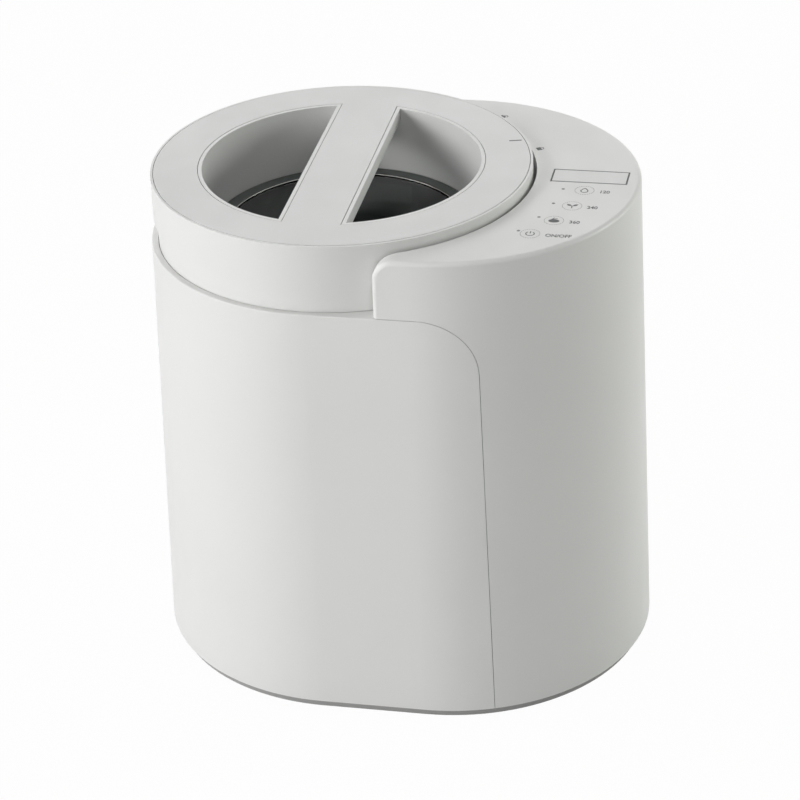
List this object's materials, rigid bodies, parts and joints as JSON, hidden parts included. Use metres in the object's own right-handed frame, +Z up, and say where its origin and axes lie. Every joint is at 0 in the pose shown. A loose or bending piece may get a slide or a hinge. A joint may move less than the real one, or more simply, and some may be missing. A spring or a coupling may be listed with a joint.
{
  "type": "electric food waste composter",
  "caption": "Worktop composter with a round lid and bar handle, touch control panel, heated bucket with a geared agitator, blower and slide-out carbon filter drawer.",
  "frame": {"origin": "centre of the footprint, at table level", "axes": "+Z up; +X from the lid towards the control panel; -Y is the side the user faces"},
  "size_m": [0.3432, 0.2726, 0.348],
  "materials": {
    "white_plastic": "fine matt grain",
    "panel_plastic": "satin",
    "plinth_plastic": "matt",
    "foot_rubber": "matt",
    "screw_steel": "zinc plated",
    "liner_plastic": "matt, heat resistant",
    "seal_silicone": "matt silicone",
    "window_glass": "smoked, polished",
    "bezel_plastic": "satin",
    "magnet_metal": "nickel plated",
    "bucket_metal": "grey non-stick coating",
    "black_nylon": "matt",
    "tool_steel": "brushed",
    "chamber_steel": "drawn sheet",
    "insulation": "mineral felt",
    "heater_metal": "as cast",
    "element_metal": "oxidised",
    "chassis_metal": "grey powder coat",
    "gear_nylon": "natural nylon",
    "motor_metal": "plated can",
    "board_green": "solder mask",
    "component_black": "matt",
    "light_clear": "frosted",
    "foam_pad": "conductive foam",
    "carbon_black": "granular",
    "pin_brass": "plated"
  },
  "bodies": {
    "housing": {"base_plate": "plinth_plastic", "rubber_feet": "foot_rubber", "base_screws": "screw_steel", "wrap_shell": "white_plastic", "tower_shell": "white_plastic", "collar_ring": "white_plastic", "chamber_liner": "chamber_steel", "shaft_seal": "seal_silicone", "insulation_jacket": "insulation", "heater_plate": "heater_metal", "heating_element": "element_metal", "thermostat": "component_black", "insulation_pad": "insulation", "chassis_deck": "chassis_metal", "gearbox_base": "black_nylon", "gearbox_cover": "black_nylon", "output_bearings": "tool_steel", "idler_axle": "tool_steel", "drive_motor": "motor_metal", "display_window": "panel_plastic", "display_module": "component_black", "control_board": "board_green", "touch_pads": "foam_pad", "status_lights": "light_clear", "lid_switch": "component_black", "tower_shelf": "chassis_metal", "blower_housing": "black_nylon", "blower_motor": "motor_metal", "exhaust_duct": "black_nylon", "filter_duct": "black_nylon", "filter_bay": "black_nylon", "power_board": "board_green", "power_parts": "component_black", "mains_inlet": "black_nylon", "inlet_pins": "pin_brass"},
    "bucket": {"bucket": "bucket_metal", "bucket_grips": "black_nylon", "bucket_bush": "black_nylon"},
    "agitator": {"agitator_shaft": "tool_steel", "agitator_dog": "tool_steel", "agitator_arms": "tool_steel", "agitator_nut": "tool_steel"},
    "lid_seal": {"lid_seal": "seal_silicone"},
    "lid": {"lid_plate": "panel_plastic", "lid_body": "white_plastic", "lid_liner": "liner_plastic", "lid_screws": "screw_steel", "lid_magnet": "magnet_metal", "window_glass": "window_glass", "window_bezel": "bezel_plastic"},
    "output": {"drive_shaft": "tool_steel", "output_gear": "gear_nylon"},
    "idler": {"idler_gear": "gear_nylon"},
    "motor_rotor": {"motor_pinion": "tool_steel"},
    "fan": {"blower_wheel": "black_nylon"},
    "filter": {"filter_drawer": "white_plastic", "carbon_cartridge": "carbon_black"}
  },
  "joints": [
    {"name": "bucket_lift", "type": "slide", "parent": "housing", "child": "bucket", "axis": [0, 0, 1], "range_m": [0, 0.205]},
    {"name": "agitator_spin", "type": "hinge", "parent": "bucket", "child": "agitator", "pos_m": [-0.0353, 0, 0.12], "axis": [0, 0, 1], "continuous": true},
    {"name": "lid_lift", "type": "slide", "parent": "bucket", "child": "lid_seal", "axis": [0, 0, 1], "range_m": [0, 0.15]},
    {"name": "lid_turn", "type": "hinge", "parent": "lid_seal", "child": "lid", "pos_m": [-0.0353, 0, 0.3185], "axis": [0, 0, 1], "range_deg": [0, 25]},
    {"name": "output_spin", "type": "hinge", "parent": "housing", "child": "output", "pos_m": [-0.0353, 0, 0.07], "axis": [0, 0, 1], "continuous": true},
    {"name": "idler_spin", "type": "hinge", "parent": "housing", "child": "idler", "pos_m": [0.0367, 0, 0.06], "axis": [0, 0, 1], "continuous": true},
    {"name": "motor_spin", "type": "hinge", "parent": "housing", "child": "motor_rotor", "pos_m": [0.07117, -0.02892, 0.05], "axis": [0, 0, 1], "continuous": true},
    {"name": "fan_spin", "type": "hinge", "parent": "housing", "child": "fan", "pos_m": [0.118, -0.032, 0.23], "axis": [0, 0, 1], "continuous": true},
    {"name": "filter_slide", "type": "slide", "parent": "housing", "child": "filter", "axis": [0, 1, 0], "range_m": [0, 0.12]}
  ],
  "couplings": [
    {"joint": "output_spin", "follows": "agitator_spin", "ratio": 1},
    {"joint": "idler_spin", "follows": "agitator_spin", "ratio": -3.5},
    {"joint": "motor_spin", "follows": "agitator_spin", "ratio": 14}
  ]
}
